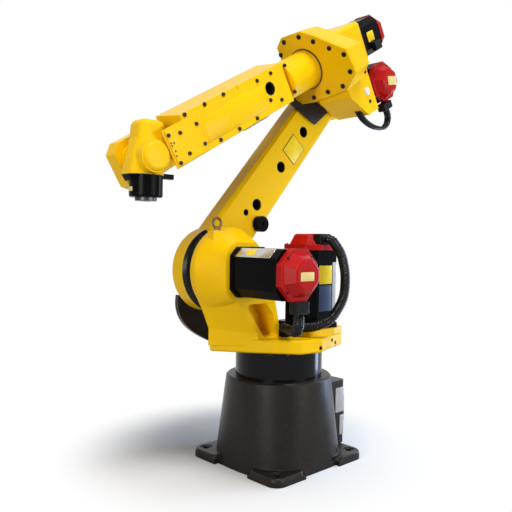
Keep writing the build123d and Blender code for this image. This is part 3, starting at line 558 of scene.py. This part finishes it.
def sleeve(name, size, body):
    path = bentPath(size["points"])
    form = bmesh.new()
    across = (path[1] - path[0]).orthogonal().normalized()
    gone = 0
    loops = []
    for k, place in enumerate(path):
        before, after = path[max(k - 1, 0)], path[min(k + 1, len(path) - 1)]
        ahead = (after - before).normalized()
        across = (across - ahead * ahead.dot(across)).normalized()
        gone += (place - before).length
        reach = size["radius"] + ribs["rise"] * math.sin(2 * math.pi * gone / ribs["pitch"])
        ring = Matrix((across, ahead.cross(across), ahead)).transposed().to_4x4()
        made = bmesh.ops.create_circle(
            form, cap_ends=k in (0, len(path) - 1), segments=ribs["sides"], radius=reach,
            matrix=Matrix.Translation(place) @ ring)
        loops.append(list({edge for vert in made["verts"] for edge in vert.link_edges}))
    for first, second in zip(loops, loops[1:]):
        bmesh.ops.bridge_loops(form, edges=first + second)
    return keep(name, form, "blackRubber", body)


axis1Sleeve = {"radius": 0.0132, "points": (
    (-80.3, 112, 611), (-80.3, 123, 609), (-80.3, 155, 575), (-80.3, 171, 521),
    (-80.3, 168, 453), (-50.3, 149, 396), (-24.3, 117, 375), (2, 56, 368))}
axis2Sleeve = {"radius": 0.0128, "points": (
    (149.5, 217, 424), (148, 216, 406), (136, 198, 386), (108, 158, 379), (66, 98, 375),
    (34, 52, 371))}
sleeve("axis1_lead_sleeve", axis1Sleeve, "turret")
sleeve("axis2_lead_sleeve", axis2Sleeve, "turret")
print("stage: bores and sleeves")


# Flat pieces: an outline raised from just under the face, with a rounded upper edge
flat = {"sink": 0.0008, "edge": 0.0004, "edgeSteps": 2, "thick": 0.0010, "corner": 0.002,
        "cornerSteps": 5}


def slab(name, matrix, outline, thick, look, body):
    form = bmesh.new()
    base = form.faces.new([form.verts.new((x, y, -flat["sink"])) for x, y in outline])
    raised = bmesh.ops.extrude_face_region(form, geom=[base], use_keep_orig=True)
    lifted = [v for v in raised["geom"] if isinstance(v, bmesh.types.BMVert)]
    bmesh.ops.translate(form, verts=lifted, vec=(0, 0, thick + flat["sink"]))
    roundTop(form, flat["edge"], flat["edgeSteps"])
    form.transform(matrix)
    return keep(name, form, look, body)


def roundedOutline(width, height):
    corner, steps = flat["corner"], flat["cornerSteps"]
    points = []
    for number, (sx, sy) in enumerate(((1, 1), (-1, 1), (-1, -1), (1, -1))):
        for step in range(steps + 1):
            angle = math.radians(90 * number + 90 * step / steps)
            points.append((sx * (width / 2 - corner) + corner * math.cos(angle),
                           sy * (height / 2 - corner) + corner * math.sin(angle)))
    return points


def plate(name, size, look, body):
    slab(name, setting(size["place"], size["normal"], size["along"]),
         roundedOutline(*size["size"]), size.get("thick", flat["thick"]), look, body)


# Raised cover along the near face of the forearm: stations and heights of its corners
forearmCover = {"thick": 0.0007, "corners": ((652, 22), (661, -33), (432, -33), (425, -4),
                                             (421, 27), (500, 36))}
slab("forearm_cover", setting(onForearm(0, 0, forearmNear), sideways, foreAlong),
     [(station * 0.001, -up * 0.001) for station, up in forearmCover["corners"]],
     forearmCover["thick"], "yellowPaint", "forearm")

# Bare plates, each with its place, the way it faces, the way its width runs, and width and height
armPlate = {"place": onArm(461, 10, armNear), "normal": sideways, "along": armAlong,
            "size": (0.072, 0.064), "thick": 0.0006}
armPlateFace = {"place": onArm(461, 10, armNear + 0.6), "normal": sideways, "along": armAlong,
                "size": (0.068, 0.060), "thick": 0.0006}
slope = Vector((1, 0, 1)).normalized()    # upper front chamfer of the second motor
slopePlace = shoulder + spot(51, 0, 51)
axis2MotorPlate = {"place": slopePlace + spot(0, 112, 0), "normal": slope, "along": sideways,
                   "size": (0.132, 0.031)}
axis2MotorTag = {"place": slopePlace + spot(0, 100, 0) + slope * 0.001, "normal": slope,
                 "along": sideways, "size": (0.034, 0.016), "thick": 0.0006}
axis2CapPlate = {"place": spot(155, axis2CapTop, 523), "normal": sideways, "along": forwards,
                 "size": (0.046, 0.021)}
axis3CapPlate = {"place": elbow + spot(-6, 138, 0), "normal": sideways, "along": unit(-12),
                 "size": (0.042, 0.026)}
axis1MotorPlate = {"place": spot(-88, 92, 513), "normal": sideways, "along": forwards,
                   "size": (0.054, 0.052)}
# Blue plate on the first motor's black side: a painted reflection of blue light
axis1MotorBlueReflection = {"place": spot(-88, 92, 447), "normal": sideways, "along": forwards,
                   "size": (0.054, 0.072)}
axis1MotorStrip = {"place": spot(-126, 92, 474), "normal": sideways, "along": forwards,
                   "size": (0.016, 0.148)}
axis4MotorPlate = {"place": onForearm(-78, 4, 57), "normal": sideways, "along": foreAlong,
                   "size": (0.034, 0.030)}
connectorBoxPlate = {"place": spot(-186, boxSide, 141), "normal": sideways, "along": forwards,
                     "size": (0.038, 0.072)}
connectorBoxTag = {"place": spot(-196, boxSide, 66), "normal": sideways, "along": forwards,
                   "size": (0.018, 0.058)}
for name, size, look, body in (
        ("arm_plate", armPlate, "screwSteel", "upper_arm"),
        ("arm_plate_face", armPlateFace, "goldPlate", "upper_arm"),
        ("axis2_motor_plate", axis2MotorPlate, "silverPlate", "turret"),
        ("axis2_motor_tag", axis2MotorTag, "goldPlate", "turret"),
        ("axis2_cap_plate", axis2CapPlate, "creamPlate", "turret"),
        ("axis3_cap_plate", axis3CapPlate, "creamPlate", "elbow"),
        ("axis1_motor_plate", axis1MotorPlate, "goldPlate", "turret"),
        ("axis1_motor_blue_reflection", axis1MotorBlueReflection, "blueReflectionPlate", "turret"),
        ("axis1_motor_strip", axis1MotorStrip, "palePlate", "turret"),
        ("axis4_motor_plate", axis4MotorPlate, "goldPlate", "elbow"),
        ("connector_box_plate", connectorBoxPlate, "palePlate", "base"),
        ("connector_box_tag", connectorBoxTag, "palePlate", "base")):
    plate(name, size, look, body)
print("stage: plates")

# Round sealing cap in the side of the elbow block
elbowBlockCap = {"sides": 40, "radius": 0.012, "top": 0.004, "sink": 0.001, "edge": 0.0028,
                 "edgeSteps": 4, "station": 102, "up": -119}
form = bmesh.new()
disc(form, elbowBlockCap)
form.transform(setting(onForearm(elbowBlockCap["station"], elbowBlockCap["up"], elbowBlockNear),
                       sideways, foreAlong))
keep("elbow_block_cap", form, "whiteCap", "elbow")

# Curved plate on the gear case of the wrist
gearCasePlate = {"inner": 0.0375, "outer": 0.0392, "low": -0.079, "high": -0.069,
                 "start": -45, "sweep": 52, "steps": 12}
form = bmesh.new()
section = form.faces.new([form.verts.new((gearCasePlate[r], 0, gearCasePlate[z])) for r, z in (
    ("inner", "low"), ("outer", "low"), ("outer", "high"), ("inner", "high"))])
bmesh.ops.spin(form, geom=[section], cent=(0, 0, 0), axis=(0, 0, 1),
               angle=math.radians(gearCasePlate["sweep"]), steps=gearCasePlate["steps"],
               use_duplicate=False)
form.transform(Matrix.Rotation(math.radians(gearCasePlate["start"]), 4, "Z"))
form.transform(Matrix.Translation(wrist))
keep("gear_case_plate", form, "creamPlate", "wrist")
print("stage: caps")


# 1 for camera, glossy and transmission rays, and 0 for the rays that light the object
def seenRays(tree):
    rays = addNode(tree, "LightPath").outputs
    first = addNode(tree, "Math", operation="MAXIMUM")
    second = addNode(tree, "Math", operation="MAXIMUM")
    link(tree, rays["Is Camera Ray"], first.inputs[0])
    link(tree, rays["Is Glossy Ray"], first.inputs[1])
    link(tree, first.outputs["Value"], second.inputs[0])
    link(tree, rays["Is Transmission Ray"], second.inputs[1])
    return second.outputs["Value"]


# Floor: white away from the object, and keeping the soft shadow near it
floorLook = {"reach": 14, "under": 0.0005, "colour": (0.84, 0.84, 0.84, 1), "rough": 0.9,
             "shine": 0.1, "dim": (0.42, 0.42, 0.42, 1), "middle": (0, -0.12, 0),
             "shadowTo": 0.26, "whiteFrom": 0.56, "white": 1.0}


def stageFloor():
    mesh = bpy.data.meshes.new("floor")
    form = bmesh.new()
    bmesh.ops.create_grid(form, x_segments=1, y_segments=1, size=floorLook["reach"])
    form.to_mesh(mesh)
    form.free()
    floor = bpy.data.objects.new("floor", mesh)
    floor.location.z = -floorLook["under"]
    scene.collection.objects.link(floor)
    paint = bpy.data.materials.new("floor")
    paint.use_nodes = True
    tree = paint.node_tree
    shader = tree.nodes["Principled BSDF"]
    shader.inputs["Base Color"].default_value = floorLook["colour"]
    shader.inputs["Roughness"].default_value = floorLook["rough"]
    shader.inputs["Specular IOR Level"].default_value = floorLook["shine"]
    place = addNode(tree, "TexCoord")
    away = addNode(tree, "VectorMath", {1: floorLook["middle"]}, operation="DISTANCE")
    fade = addNode(tree, "MapRange", {
        "From Min": floorLook["shadowTo"], "From Max": floorLook["whiteFrom"],
        "To Min": 0.0, "To Max": 1.0}, interpolation_type="SMOOTHSTEP")
    white = addNode(tree, "Emission", {"Strength": floorLook["white"]})
    dim = addNode(tree, "BsdfDiffuse", {"Color": floorLook["dim"]})
    shown = addNode(tree, "MixShader")
    chosen = addNode(tree, "MixShader")
    for output, socket in (
            (place.outputs["Object"], away.inputs[0]),
            (away.outputs["Value"], fade.inputs["Value"]),
            (fade.outputs["Result"], shown.inputs[0]), (shader.outputs[0], shown.inputs[1]),
            (white.outputs[0], shown.inputs[2]), (seenRays(tree), chosen.inputs[0]),
            (dim.outputs[0], chosen.inputs[1]), (shown.outputs[0], chosen.inputs[2]),
            (chosen.outputs[0], tree.nodes["Material Output"].inputs["Surface"])):
        link(tree, output, socket)
    mesh.materials.append(paint)


stageFloor()

# World: white where it is seen, and dim where it lights the object
sky = {"colour": (1, 1, 1, 1), "light": 0.10, "seen": 1.0}
world = bpy.data.worlds.new("studio")
scene.world = world
world.use_nodes = True
tree = world.node_tree
tree.nodes.clear()
light, seen = (addNode(tree, "Background", {"Color": sky["colour"], "Strength": sky[key]})
               for key in ("light", "seen"))
chosen = addNode(tree, "MixShader")
out = addNode(tree, "OutputWorld")
link(tree, seenRays(tree), chosen.inputs[0])
link(tree, light.outputs[0], chosen.inputs[1])
link(tree, seen.outputs[0], chosen.inputs[2])
link(tree, chosen.outputs[0], out.inputs["Surface"])

# Lamps, all aimed at the middle of the arm
aimPoint = Vector((0.05, 0, 0.65))
lamps = {
    "key": {"place": (0.4, 1.15, 3.7), "size": (1.2, 1.2), "power": 84,
            "colour": (1.0, 0.99, 0.97)},
    "panel": {"place": (-0.7, 2.9, 0.8), "size": (1.6, 1.2), "power": 38,
              "colour": (1.0, 0.99, 0.97)},
    "front": {"place": (2.7, 1.0, 0.9), "size": (1.0, 1.0), "power": 40,
              "colour": (1.0, 0.98, 0.95)},
    "strip": {"place": (-1.15, 0.42, 0.52), "size": (0.30, 1.0), "power": 14,
              "colour": (0.46, 0.66, 1.0)},
}
for name, lamp in lamps.items():
    data = bpy.data.lights.new(name, "AREA")
    data.shape = "RECTANGLE"
    data.size, data.size_y = lamp["size"]
    data.energy, data.color = lamp["power"], lamp["colour"]
    shone = bpy.data.objects.new(name, data)
    shone.location = lamp["place"]
    shone.visible_camera = False
    shone.rotation_euler = (aimPoint - shone.location).to_track_quat("-Z", "Y").to_euler()
    scene.collection.objects.link(shone)
print("stage: lights")
